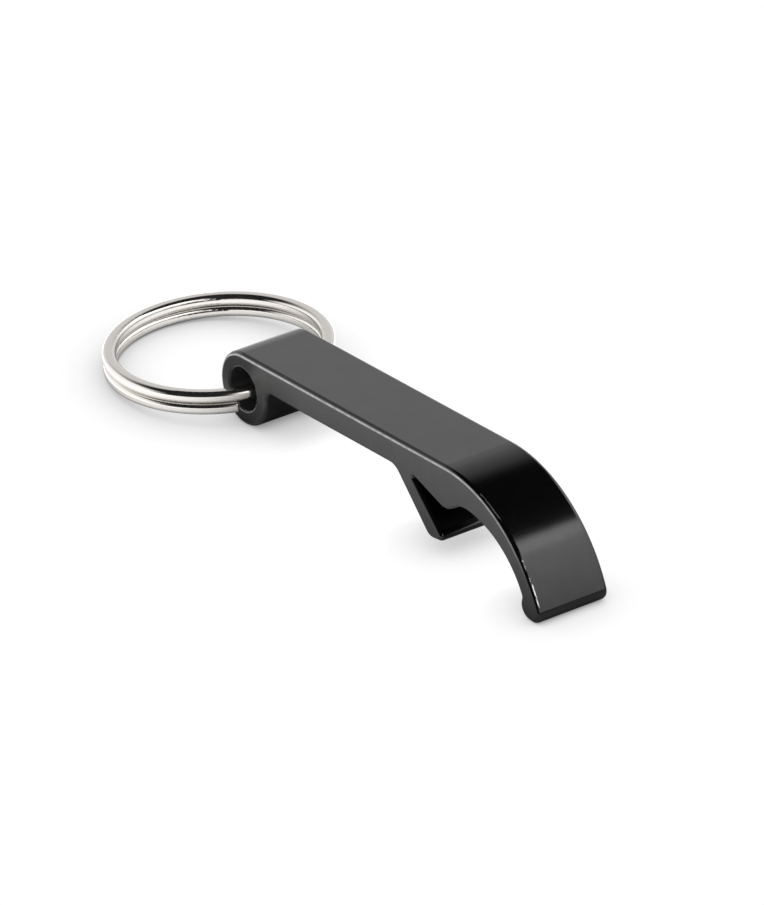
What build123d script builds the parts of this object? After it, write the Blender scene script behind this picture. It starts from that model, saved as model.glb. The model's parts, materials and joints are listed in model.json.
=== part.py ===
"""Keychain bottle opener: one extruded aluminium body and the split ring that hangs in its eye.

The opener stands as it does when it is put down on a table: the underside of the eye and the
tip of the curved nose touch the table, and the ring lies back from the eye with its far end on
the table. +X runs from the ring to the nose, +Y across the width and +Z up. The origin is on the
table, under the middle of the whole object.
"""

import os
from math import asin, atan2, cos, degrees, hypot, radians, sin, sqrt

from build123d import *

# ---- Opener body: driving dimensions in mm and degrees ----
# A profile place is (along the bar, above the bar) from the centre of the eye.
body_width = 9.0
eye_radius = 4.15
hole_radius = 2.4
bar_thickness = 3.2
edge_radius = 0.5
hole_edge_radius = 0.3

bend_start = 36.2
bend_radius = 16.25
foot_radius = 1.5
foot_angle = 20.4
toe_radius = 1.15
foot_notch_radius = 0.5

mouth_centre = (38.96, -10.43)
mouth_radius = 10.71
tooth_root = (39.3, 0.57)
tooth_tip = (36.11, -1.18)
slot_apex = (30.14, 1.03)
hook_lip = (35.75, -5.0)
hook_heel = (32.85, -5.3)
hook_root_along = 27.3

tooth_root_radius = 3.0
tooth_tip_radius = 2.2
slot_apex_radius = 0.15
hook_lip_radius = 0.55
hook_heel_radius = 1.5
hook_root_radius = 2.0
eye_web_radius = 1.2

# ---- Split ring: driving dimensions in mm and degrees ----
ring_diameter = 25.0
wire_width = 1.5
wire_height = 1.3
wire_corner_radius = 0.5
wire_end_radius = 0.3
coil_gap = 0.03
ring_reach = 10.9
ring_tilt = 4.48
ring_lean = 1.43
crossing_angle = 19.0
wire_end_angle = 25.0

# ---- Body geometry that follows ----
bar_underside = eye_radius - bar_thickness
hook_root = (hook_root_along, bar_underside)
bend_centre = (bend_start, eye_radius - bend_radius)
bend_to_foot = bend_radius - foot_radius
foot_centre = (
    bend_centre[0] + bend_to_foot * cos(radians(foot_angle)),
    bend_centre[1] + bend_to_foot * sin(radians(foot_angle)),
)

# The bar tilts until the circles of the eye and the foot both touch the table.
foot_distance = hypot(foot_centre[0], foot_centre[1])
bar_tilt = asin((foot_radius - eye_radius) / foot_distance) - atan2(foot_centre[1], foot_centre[0])

# The toe is the sharper corner between the bend's outer face and the table.
bend_height = eye_radius + bend_centre[0] * sin(bar_tilt) + bend_centre[1] * cos(bar_tilt)
bend_to_toe = bend_radius - toe_radius
toe_angle = asin((toe_radius - bend_height) / bend_to_toe) - bar_tilt
toe_centre = (
    bend_centre[0] + bend_to_toe * cos(toe_angle),
    bend_centre[1] + bend_to_toe * sin(toe_angle),
)
table_down = (-sin(bar_tilt), -cos(bar_tilt))
toe_bottom = (
    toe_centre[0] + toe_radius * table_down[0],
    toe_centre[1] + toe_radius * table_down[1],
)
foot_bottom = (
    foot_centre[0] + foot_radius * table_down[0],
    foot_centre[1] + foot_radius * table_down[1],
)

# ---- Ring geometry that follows ----
coil_radius = ring_diameter / 2 - wire_width / 2
coil_pitch = wire_height + coil_gap
stack_half_height = (coil_pitch + wire_height) / 2

# The ring slopes down from the eye and leans to the near side. It hangs so far below the
# middle of the hole that the rounded lower corner of its far end is on the table.
slope = radians(ring_tilt)
lean = radians(ring_lean)
ring_along = Vector(cos(slope), 0, sin(slope))
ring_across = Vector(-sin(slope) * sin(lean), cos(lean), cos(slope) * sin(lean))
ring_up = ring_along.cross(ring_across)

corner_reach = ring_diameter / 2 - wire_corner_radius
corner_height = stack_half_height - wire_corner_radius
steepness = sqrt(1 - ring_up.Z**2)
corner_rise = eye_radius - wire_corner_radius - ring_reach * ring_along.Z - corner_reach * steepness
ring_drop = corner_rise / ring_up.Z - corner_height

# The eye stands back from the origin so that the whole object is centred along X.
nose_end = toe_centre[0] * cos(bar_tilt) - toe_centre[1] * sin(bar_tilt) + toe_radius
ring_middle = ring_reach * ring_along.X + ring_drop * ring_up.X
corner_along = corner_reach * sqrt(1 - ring_up.X**2) - corner_height * ring_up.X
ring_end = ring_middle + corner_along + wire_corner_radius
eye_x = (ring_end - nose_end) / 2
eye_centre = Vector(eye_x, 0, eye_radius)


def round_corner(place, radius):
    """Round the corner of the profile in hand that stands nearest to a place."""
    corner = vertices().sort_by_distance((place[0], place[1], 0))[0]
    fillet(corner, radius)


# ---- Opener body ----
bar_plane = Plane(
    origin=eye_centre,
    x_dir=(cos(bar_tilt), 0, sin(bar_tilt)),
    z_dir=(0, -1, 0),
)
with BuildPart() as opener_body:
    with BuildSketch(bar_plane) as profile:
        # Curved nose: the band between the bend's circle and the mouth's circle
        with BuildLine():
            bend = CenterArc(bend_centre, bend_radius, 90, degrees(toe_angle) - 90)
            Line(bend @ 1, toe_centre)
            Line(toe_centre, foot_centre)
            Line(foot_centre, mouth_centre)
            Line(mouth_centre, bend @ 0)
        make_face()
        with Locations(mouth_centre):
            Circle(mouth_radius, mode=Mode.SUBTRACT)

        # Foot: a round heel and toe with a narrow flat between them, which stands on the table
        with BuildLine():
            Polyline(foot_centre, toe_centre, toe_bottom, foot_bottom, close=True)
        make_face()
        with Locations(foot_centre):
            Circle(foot_radius)
        with Locations(toe_centre):
            Circle(toe_radius)

        # Flat bar, with the hook and the slot's tooth under it
        with BuildLine():
            Polyline(
                (0, eye_radius),
                (bend_start, eye_radius),
                tooth_root,
                tooth_tip,
                slot_apex,
                hook_lip,
                hook_heel,
                hook_root,
                (0, bar_underside),
                close=True,
            )
        make_face()

        # Eye and its hole
        Circle(eye_radius)
        Circle(hole_radius, mode=Mode.SUBTRACT)

        round_corner((eye_radius, bar_underside), eye_web_radius)
        round_corner(hook_root, hook_root_radius)
        round_corner(hook_heel, hook_heel_radius)
        round_corner(hook_lip, hook_lip_radius)
        round_corner(slot_apex, slot_apex_radius)
        round_corner(tooth_tip, tooth_tip_radius)
        round_corner(tooth_root, tooth_root_radius)
        round_corner((foot_centre[0] - foot_radius, foot_centre[1] + foot_radius / 2), foot_notch_radius)
    extrude(amount=body_width / 2, both=True)

    # Every cut edge is tumbled round, the rim of the hole less than the outline
    cut_faces = opener_body.faces().filter_by(Axis.Y)
    hole_rims = ShapeList(face.inner_wires()[0] for face in cut_faces)
    fillet(hole_rims.edges(), hole_edge_radius)
    cut_faces = opener_body.faces().filter_by(Axis.Y)
    outlines = ShapeList(face.outer_wire() for face in cut_faces)
    fillet(outlines.edges(), edge_radius)

# ---- Split ring ----
ring_centre = eye_centre - ring_along * ring_reach - ring_up * ring_drop
ring_plane = Plane(origin=ring_centre, x_dir=ring_along, z_dir=ring_up)


def across_wire(angle, height):
    """Plane square to the wire, at an angle round the ring and a height above its middle."""
    outward = ring_along * cos(radians(angle)) + ring_across * sin(radians(angle))
    middle = ring_centre + outward * coil_radius + ring_up * height
    return Plane(origin=middle, x_dir=outward, z_dir=outward.cross(ring_up))


# The wire starts at the eye's near mouth, runs clockwise once round as the lower coil, crosses
# up inside the eye, and runs once more round as the upper coil to the eye's far mouth.
lower_height = -coil_pitch / 2
upper_height = coil_pitch / 2
lower_start = across_wire(-wire_end_angle, lower_height)
lower_finish = across_wire(crossing_angle, lower_height)
upper_start = across_wire(-crossing_angle, upper_height)

with BuildPart() as split_ring:
    with BuildSketch(lower_start, upper_start):
        RectangleRounded(wire_width, wire_height, wire_corner_radius)
    coil_arc = 360 - crossing_angle - wire_end_angle
    revolve(axis=Axis(ring_centre, -ring_up), revolution_arc=coil_arc)

    with BuildLine(ring_plane) as crossing:
        Spline(
            lower_finish.origin,
            (coil_radius, 0, 0),
            upper_start.origin,
            tangents=(lower_finish.z_dir, upper_start.z_dir),
        )
    with BuildSketch(lower_finish, upper_start):
        RectangleRounded(wire_width, wire_height, wire_corner_radius)
    sweep(path=crossing.line, multisection=True)

    cut_ends = split_ring.faces().filter_by(GeomType.PLANE).sort_by(SortBy.AREA)[:2]
    fillet(cut_ends.edges(), wire_end_radius)

opener_body.part.label = "opener_body"
split_ring.part.label = "split_ring"

os.makedirs("parts", exist_ok=True)
export_step(opener_body.part, "parts/opener_body.step")
export_step(split_ring.part, "parts/split_ring.step")
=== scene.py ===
"""Looks for the keychain bottle opener: its finishes, the floor, the studio light and the camera.

Everything is in metres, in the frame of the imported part: +X runs from the ring to the nose, +Y
across the width and +Z up, and the table is at z = 0.
"""

import json
from math import cos, radians, sin

import bpy
from mathutils import Matrix, Vector

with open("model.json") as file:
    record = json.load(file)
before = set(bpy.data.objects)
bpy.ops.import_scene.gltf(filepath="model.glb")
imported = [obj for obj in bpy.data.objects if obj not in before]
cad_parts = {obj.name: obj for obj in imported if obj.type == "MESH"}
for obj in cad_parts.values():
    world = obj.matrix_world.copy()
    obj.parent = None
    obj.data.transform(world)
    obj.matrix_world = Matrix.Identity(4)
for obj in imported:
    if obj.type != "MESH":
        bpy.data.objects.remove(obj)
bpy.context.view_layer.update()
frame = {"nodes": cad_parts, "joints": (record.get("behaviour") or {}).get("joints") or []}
eye = Vector(frame["joints"][0]["pos_m"])

WHITE = (1.0, 1.0, 1.0, 1.0)

# ---- Camera ----
VIEW_AZIMUTH = 54.0
VIEW_ELEVATION = 29.75
VIEW_DISTANCE = 0.9452
VIEW_AIM_FROM_EYE = Vector((0.01378, 0.0037, -0.00408))
LENS_MM = 357.1
CLIP_START = 0.01

# ---- Floor: reaches are distances from the object in metres ----
FLOOR_SIZE = 4.0
FLOOR_LIGHT = 1.02
SHADOW_REACH = 0.0058
SHADOW_SOFTNESS = 0.6
MIRRORED_SHADOW_REACH = 0.015
SHADOW_DEPTH = 2.6

# In reflections the floor is a pool of light, stronger towards the left
POOL_CENTRE = Vector((-0.02, -0.02, 0.0))
POOL_EDGE = (0.045, 0.07)
POOL_LIGHT = 1.2
POOL_SURROUND = 0.35
LEFTWARD = (-0.035, -0.005)
LEFTWARD_GAIN = (1.7, 0.95)

# ---- Studio: azimuths and elevations in degrees, side edges as cosines off the azimuth ----
SOFT_LIGHT = 1.0
CEILING_LIGHT = 0.012

BACKDROP_AZIMUTH = 147.0
BACKDROP_SIDES = (-0.2, 0.3)
BACKDROP_FADE = (20.0, 42.0)
BACKDROP_LIGHT = (0.9, 0.3)
BACKDROP_TOP = (39.0, 48.0)

SCREEN_AZIMUTH = 45.0
SCREEN_SIDES = (0.2, 0.5)
SCREEN_RISE = (10.0, 45.0)
SCREEN_LIGHT = (1.1, 1.9)
SCREEN_FOOT = (2.0, 11.0)
SCREEN_FOOT_LIGHT = 0.15
SCREEN_RIM = (42.0, 46.0)
SCREEN_RIM_LIGHT = 0.7
SCREEN_TOP = (49.0, 52.0)

LAMP_AZIMUTH = 216.0
LAMP_SIDES = (0.5, 0.9)
LAMP_LIGHT = 1.3
LAMP_TOP = (28.0, 38.0)

# ---- Black film ----
GLOSSY_ROUGHNESS = 0.12
GLOSSY_SPREAD = 0.02
MATT_ROUGHNESS = 0.33
MATT_SPREAD = 0.05
FILM_IOR = 1.6
FILM_TONE = (0.0006, 0.0014)
FILM_GLOSS = (0.475, 0.525)
# Painted shade: the cut face's reflection level in a patch over the hole
PAINTED_SHADE_GLOSS = 0.28
# Painted light: added to the base tone inside the bore
BORE_PAINTED_LIGHT = 0.03
BORE_EDGE = (0.00242, 0.0026)
EYE_EDGE = (0.004, 0.0052)
# Which side of the hole the painted shade lies on, and how it fades out
PAINTED_SHADE_SIDE = (cos(radians(125.0)), 0.0, sin(radians(125.0)))
PAINTED_SHADE_EDGE = (0.25, 0.6)

# How far a surface faces across the width: 1 on a cut face, 0 on the outline
CUT_FACE = (0.96, 0.998)
# Wear and painted highlight: how far the edge band of bare metal faces across the width
WORN_HIGHLIGHT_BAND = (0.76, 0.88, 0.95, 0.995)
KNOCKED_BAND = (0.15, 0.25, 0.4, 0.5)

# ---- Wear and painted edge highlight: lengths in metres, along from the eye or up from the table ----
# Only upward-facing edges get the worn, painted-highlight band
WORN_HIGHLIGHT_SIDE = (-0.3, 0.0, 0.95)
WORN_HIGHLIGHT_UPWARD = (0.2, 0.78)
WORN_HIGHLIGHT_METAL = 0.45
NOSE_START = (0.0365, 0.0375)
SLOT_TOP = (0.0072, 0.008)
UPPER_KNOCKS = (0.0412, 0.042, 0.0444, 0.0452)
LOWER_KNOCKS = (0.0018, 0.0022, 0.0062, 0.0068)
KNOCK_LEVEL = 0.7
UPPER_KNOCK_LEVEL = 0.42
LOWER_KNOCK_LEVEL = 0.46
KNOCK_EDGE = (0.0, 0.04)
BARE_TONE = (0.8, 0.8, 0.81, 1.0)
BARE_ROUGHNESS = 0.35

# ---- Texture scales, per metre ----
DIE_LINES = (9000.0, 120.0, 9000.0)
KNOCKS = (700.0, 3000.0, 700.0)
SPECKLE_SCALE = 9000.0
CLOUD_SCALE = 260.0
MOTTLE_SCALE = 420.0
PATCH_SCALE = 1500.0
PLATE_CLOUD_SCALE = 500.0

# ---- Bump: depths in metres ----
LINE_STRENGTH = 0.04
LINE_DEPTH = 0.00001
GRAIN_STRENGTH = 0.25
GRAIN_DEPTH = 0.00002

# ---- Nickel plate ----
PLATE_TONE = (0.70, 0.675, 0.645, 1.0)
PLATE_ROUGHNESS = (0.1, 0.16)

# The part of a noise's range that most of it falls in
NOISE_RANGE = (0.3, 0.7)


class Nodes:
    """A short way to write one node tree."""

    def __init__(self, tree):
        self.tree = tree
        self.tree.nodes.clear()

    def add(self, kind, inputs=None, **settings):
        """One node, with its settings and its inputs, each a value or another node's output."""
        node = self.tree.nodes.new(kind)
        for name, value in settings.items():
            setattr(node, name, value)
        for name, value in (inputs or {}).items():
            if isinstance(value, bpy.types.NodeSocket):
                self.tree.links.new(value, node.inputs[name])
            else:
                node.inputs[name].default_value = value
        return node

    def math(self, operation, a, b=0.0):
        return self.add("ShaderNodeMath", {0: a, 1: b}, operation=operation).outputs[0]

    def times(self, first, *others):
        """The product of two or more values."""
        product = first
        for other in others:
            product = self.math("MULTIPLY", product, other)
        return product

    def vector_math(self, operation, a, b=None):
        inputs = {0: a} if b is None else {0: a, 1: b}
        return self.add("ShaderNodeVectorMath", inputs, operation=operation)

    def dot(self, a, b):
        return self.vector_math("DOT_PRODUCT", a, b).outputs["Value"]

    def stretch(self, vector, scale):
        """A vector scaled by its own factor along each axis."""
        return self.vector_math("MULTIPLY", vector, scale).outputs["Vector"]

    def parts(self, vector):
        """The X, Y and Z of a vector."""
        return self.add("ShaderNodeSeparateXYZ", {"Vector": vector}).outputs

    def map_range(self, value, ends, result, **settings):
        inputs = {"Value": value, "From Min": ends[0], "From Max": ends[1]}
        inputs.update({"To Min": result[0], "To Max": result[1]})
        return self.add("ShaderNodeMapRange", inputs, **settings).outputs["Result"]

    def smooth(self, value, ends, result=(0.0, 1.0)):
        """A value between two ends, mapped onto a result by a smooth step."""
        return self.map_range(value, ends, result, interpolation_type="SMOOTHSTEP")

    def linear(self, value, ends, result):
        """A value between two ends, mapped onto a result in a straight line and clamped."""
        return self.map_range(value, ends, result)

    def below(self, value, ends):
        """1 below the two ends and 0 above them."""
        return self.smooth(value, ends, (1.0, 0.0))

    def band(self, value, ends):
        """1 between the middle two of four ends and 0 outside the outer two."""
        return self.times(self.smooth(value, ends[:2]), self.below(value, ends[2:]))

    def noise(self, vector, scale, detail=3.0, roughness=0.5):
        inputs = {"Vector": vector, "Scale": scale, "Detail": detail, "Roughness": roughness}
        return self.add("ShaderNodeTexNoise", inputs).outputs["Fac"]

    def mix(self, factor, a, b):
        return self.add("ShaderNodeMix", {"Factor": factor, "A": a, "B": b}).outputs["Result"]

    def grey(self, value):
        inputs = {"Red": value, "Green": value, "Blue": value}
        return self.add("ShaderNodeCombineColor", inputs).outputs["Color"]

    def openness(self, reach, samples):
        """How much of a surface's view is clear within a reach: 1 in the open, 0 when shut in."""
        inputs = {"Distance": reach}
        return self.add("ShaderNodeAmbientOcclusion", inputs, samples=samples).outputs["AO"]


# ---- Finishes ----
def from_eye(ends):
    """Lengths along from the eye, as places along X."""
    return [eye.x + end for end in ends]


def black_anodised(material):
    """Black anodised aluminium: glossy along the extrusion, matt on the cut faces, worn on the edges, with
    a painted highlight along the upper near edges, painted light in the bore and painted shade over the
    hole.
    """
    nodes = Nodes(material.node_tree)
    place = nodes.add("ShaderNodeTexCoord")
    spot = place.outputs["Object"]
    normal = place.outputs["Normal"]
    along, height = nodes.parts(spot)["X"], nodes.parts(spot)["Z"]
    facing_far = nodes.parts(normal)["Y"]
    sideways = nodes.math("ABSOLUTE", facing_far)
    cut_face = nodes.smooth(sideways, CUT_FACE)

    die_lines = nodes.noise(nodes.stretch(spot, DIE_LINES), 1.0, 4.0, 0.6)
    speckle = nodes.noise(spot, SPECKLE_SCALE, 3.0, 0.65)
    cloud = nodes.noise(spot, CLOUD_SCALE, 4.0, 0.55)

    glossy_range = (GLOSSY_ROUGHNESS - GLOSSY_SPREAD, GLOSSY_ROUGHNESS + GLOSSY_SPREAD)
    glossy = nodes.linear(die_lines, NOISE_RANGE, glossy_range)
    matt_range = (MATT_ROUGHNESS - MATT_SPREAD, MATT_ROUGHNESS + MATT_SPREAD)
    matt = nodes.linear(speckle, NOISE_RANGE, matt_range)
    roughness = nodes.mix(cut_face, glossy, matt)
    tone = nodes.linear(cloud, NOISE_RANGE, FILM_TONE)

    # Painted light: the bore is painted greyer than the outside, standing in for the light reflected inside
    # it
    radius = nodes.vector_math("SUBTRACT", spot, eye).outputs["Vector"]
    radius = nodes.stretch(radius, (1.0, 0.0, 1.0))
    from_axis = nodes.vector_math("LENGTH", radius).outputs["Value"]
    bore = nodes.below(from_axis, BORE_EDGE)
    round_eye = nodes.below(from_axis, EYE_EDGE)
    tone = nodes.math("ADD", tone, nodes.times(bore, BORE_PAINTED_LIGHT))

    # Painted shade: the cut face reflects less in a patch over the hole, on its upper side round the eye
    over_hole = nodes.math("DIVIDE", nodes.dot(radius, PAINTED_SHADE_SIDE), nodes.math("MAXIMUM", from_axis, 0.0001))
    painted_shade = nodes.times(nodes.smooth(over_hole, PAINTED_SHADE_EDGE), round_eye, cut_face)
    mottle = nodes.linear(nodes.noise(spot, MOTTLE_SCALE, 3.0, 0.55), (0.35, 0.65), FILM_GLOSS)
    gloss = nodes.mix(painted_shade, mottle, PAINTED_SHADE_GLOSS)

    # Handling thins the black film along the upper edges, just outside the cut face; the band is kept to
    # upward-facing edges, a painted highlight where the bright edge line shows
    outward = nodes.math("SQRT", nodes.math("SUBTRACT", 1.0, nodes.times(sideways, sideways)))
    upward = nodes.math("DIVIDE", nodes.dot(normal, WORN_HIGHLIGHT_SIDE), nodes.math("MAXIMUM", outward, 0.05))
    on_nose = nodes.smooth(along, from_eye(NOSE_START))
    above_slot = nodes.smooth(height, SLOT_TOP)
    outside_slot = nodes.math("MAXIMUM", nodes.math("MAXIMUM", on_nose, above_slot), round_eye)
    patchy = nodes.linear(nodes.noise(spot, PATCH_SCALE, 3.0, 0.6), (0.3, 0.6), (0.55, 1.0))
    edge = nodes.times(nodes.band(sideways, WORN_HIGHLIGHT_BAND), nodes.smooth(upward, WORN_HIGHLIGHT_UPWARD))
    worn_and_highlit = nodes.times(edge, outside_slot, patchy, WORN_HIGHLIGHT_METAL)

    # Knocks leave bright flecks on the near edge of the nose, most of them high up and by the foot
    upper = nodes.band(along, from_eye(UPPER_KNOCKS))
    lower = nodes.times(nodes.band(height, LOWER_KNOCKS), on_nose)
    knocked_level = nodes.mix(upper, LOWER_KNOCK_LEVEL, UPPER_KNOCK_LEVEL)
    level = nodes.mix(nodes.math("MAXIMUM", upper, lower), KNOCK_LEVEL, knocked_level)
    knocks = nodes.noise(nodes.stretch(spot, KNOCKS), 1.0, 3.0, 0.65)
    knocks = nodes.smooth(nodes.math("SUBTRACT", knocks, level), KNOCK_EDGE)
    near_edge = nodes.band(nodes.times(facing_far, -1.0), KNOCKED_BAND)
    past_eye = nodes.smooth(along, from_eye((0.0, 0.002)))
    knocks = nodes.times(knocks, near_edge, past_eye)
    metal = nodes.math("MAXIMUM", worn_and_highlit, knocks)

    line_inputs = {"Strength": LINE_STRENGTH, "Distance": LINE_DEPTH, "Height": die_lines}
    line_bump = nodes.add("ShaderNodeBump", line_inputs).outputs["Normal"]
    grain_inputs = {"Strength": GRAIN_STRENGTH, "Distance": GRAIN_DEPTH, "Normal": line_bump}
    grain_inputs["Height"] = nodes.times(speckle, cut_face)
    bump = nodes.add("ShaderNodeBump", grain_inputs).outputs["Normal"]

    film = nodes.add(
        "ShaderNodeBsdfPrincipled",
        {
            "Base Color": nodes.grey(tone),
            "Roughness": roughness,
            "IOR": FILM_IOR,
            "Specular IOR Level": gloss,
            "Normal": bump,
        },
    )
    bare = nodes.add(
        "ShaderNodeBsdfPrincipled",
        {"Base Color": BARE_TONE, "Metallic": 1.0, "Roughness": BARE_ROUGHNESS, "Normal": bump},
    )
    surface = nodes.add("ShaderNodeMixShader", {0: metal, 1: film.outputs[0], 2: bare.outputs[0]})
    nodes.add("ShaderNodeOutputMaterial", {"Surface": surface.outputs[0]})


def nickel_plate(material):
    """Polished nickel plate, a little cloudy."""
    nodes = Nodes(material.node_tree)
    spot = nodes.add("ShaderNodeTexCoord").outputs["Object"]
    roughness = nodes.linear(nodes.noise(spot, PLATE_CLOUD_SCALE), NOISE_RANGE, PLATE_ROUGHNESS)
    surface = nodes.add(
        "ShaderNodeBsdfPrincipled",
        {"Base Color": PLATE_TONE, "Metallic": 1.0, "Roughness": roughness},
    )
    nodes.add("ShaderNodeOutputMaterial", {"Surface": surface.outputs["BSDF"]})


FINISHES = {"opener_body": black_anodised, "split_ring": nickel_plate}


def finish_nodes():
    """Gives each CAD node its own finish in the material slot it came with."""
    for name, finish in FINISHES.items():
        node = frame["nodes"][name]
        slot = node.material_slots[0]
        slot_name = slot.material.name
        material = bpy.data.materials.new(slot_name + "_finish")
        material.use_nodes = True
        finish(material)
        slot.material = material


# ---- Floor, light and camera ----
def make_floor():
    """A glowing white table top at z = 0, with painted shadow round the object; reflections see it darker,
    with a deeper painted shadow.
    """
    half = FLOOR_SIZE / 2
    corners = [(-half, -half, 0), (half, -half, 0), (half, half, 0), (-half, half, 0)]
    mesh = bpy.data.meshes.new("floor")
    mesh.from_pydata(corners, [], [(0, 1, 2, 3)])
    floor = bpy.data.objects.new("floor", mesh)
    bpy.context.scene.collection.objects.link(floor)
    # Painted shadow: the floor glows, and its shade round the object is painted from ambient occlusion,
    # deeper in reflections
    material = bpy.data.materials.new("floor_glow_painted_shadow")
    material.use_nodes = True
    nodes = Nodes(material.node_tree)

    near = nodes.openness(SHADOW_REACH, 16)
    wide = nodes.openness(MIRRORED_SHADOW_REACH, 8)
    seen = nodes.times(nodes.math("POWER", near, SHADOW_SOFTNESS), FLOOR_LIGHT)
    spot = nodes.add("ShaderNodeTexCoord").outputs["Object"]
    reach = nodes.vector_math("DISTANCE", spot, POOL_CENTRE).outputs["Value"]
    pool = nodes.smooth(reach, POOL_EDGE, (POOL_LIGHT, POOL_SURROUND))
    pool = nodes.times(pool, nodes.linear(nodes.parts(spot)["X"], LEFTWARD, LEFTWARD_GAIN))
    mirrored = nodes.times(nodes.math("POWER", wide, SHADOW_DEPTH), pool)
    glossy_ray = nodes.add("ShaderNodeLightPath").outputs["Is Glossy Ray"]
    glow = nodes.add("ShaderNodeEmission", {"Strength": nodes.mix(glossy_ray, seen, mirrored)})
    nodes.add("ShaderNodeOutputMaterial", {"Surface": glow.outputs["Emission"]})
    mesh.materials.append(material)


def compass(azimuth):
    """Level direction at an azimuth in degrees, anticlockwise from +X."""
    return (cos(radians(azimuth)), sin(radians(azimuth)), 0.0)


def make_studio():
    """Even light all round; in reflections, bright screens round a dark ceiling."""
    world = bpy.data.worlds.new("studio")
    world.use_nodes = True
    bpy.context.scene.world = world
    nodes = Nodes(world.node_tree)
    direction = nodes.add("ShaderNodeTexCoord").outputs["Generated"]
    elevation = nodes.math("DEGREES", nodes.math("ARCSINE", nodes.parts(direction)["Z"]))

    # Backdrop behind the object, fading upwards
    backdrop = nodes.linear(elevation, BACKDROP_FADE, BACKDROP_LIGHT)
    behind = nodes.smooth(nodes.dot(direction, compass(BACKDROP_AZIMUTH)), BACKDROP_SIDES)
    backdrop = nodes.times(backdrop, nodes.below(elevation, BACKDROP_TOP), behind)

    # Screen at the right, dim at its foot and brightest under its clean upper edge
    screen = nodes.linear(elevation, SCREEN_RISE, SCREEN_LIGHT)
    screen = nodes.math("ADD", screen, nodes.smooth(elevation, SCREEN_RIM, (0.0, SCREEN_RIM_LIGHT)))
    foot = nodes.smooth(elevation, SCREEN_FOOT, (SCREEN_FOOT_LIGHT, 1.0))
    right = nodes.smooth(nodes.dot(direction, compass(SCREEN_AZIMUTH)), SCREEN_SIDES)
    screen = nodes.times(screen, nodes.below(elevation, SCREEN_TOP), foot, right)

    # Lamp at the left, which draws the bright line along the near edges
    lamp = nodes.smooth(nodes.dot(direction, compass(LAMP_AZIMUTH)), LAMP_SIDES, (0.0, LAMP_LIGHT))
    lamp = nodes.times(lamp, nodes.below(elevation, LAMP_TOP))

    bright = nodes.math("MAXIMUM", nodes.math("MAXIMUM", backdrop, screen), lamp)
    bright = nodes.math("MAXIMUM", bright, CEILING_LIGHT)
    mirrored = nodes.add("ShaderNodeBackground", {"Color": bright})
    even = nodes.add("ShaderNodeBackground", {"Color": WHITE, "Strength": SOFT_LIGHT})
    glossy_ray = nodes.add("ShaderNodeLightPath").outputs["Is Glossy Ray"]
    light = nodes.add("ShaderNodeMixShader", {0: glossy_ray, 1: even.outputs[0], 2: mirrored.outputs[0]})
    nodes.add("ShaderNodeOutputWorld", {"Surface": light.outputs[0]})


def make_camera():
    """A long lens, looking down on the nose from the right."""
    azimuth, elevation = radians(VIEW_AZIMUTH), radians(VIEW_ELEVATION)
    back = Vector((sin(azimuth) * cos(elevation), -cos(azimuth) * cos(elevation), sin(elevation)))
    right = Vector((cos(azimuth), sin(azimuth), 0.0))
    turn = Matrix((right, back.cross(right), back)).transposed().to_4x4()
    lens = bpy.data.cameras.new("camera")
    lens.lens = LENS_MM
    lens.clip_start = CLIP_START
    camera = bpy.data.objects.new("camera", lens)
    camera.matrix_world = Matrix.Translation(eye + VIEW_AIM_FROM_EYE + back * VIEW_DISTANCE) @ turn
    bpy.context.scene.collection.objects.link(camera)
    bpy.context.scene.camera = camera
    bpy.context.scene.view_settings.view_transform = "Standard"


finish_nodes()
make_floor()
make_studio()
make_camera()
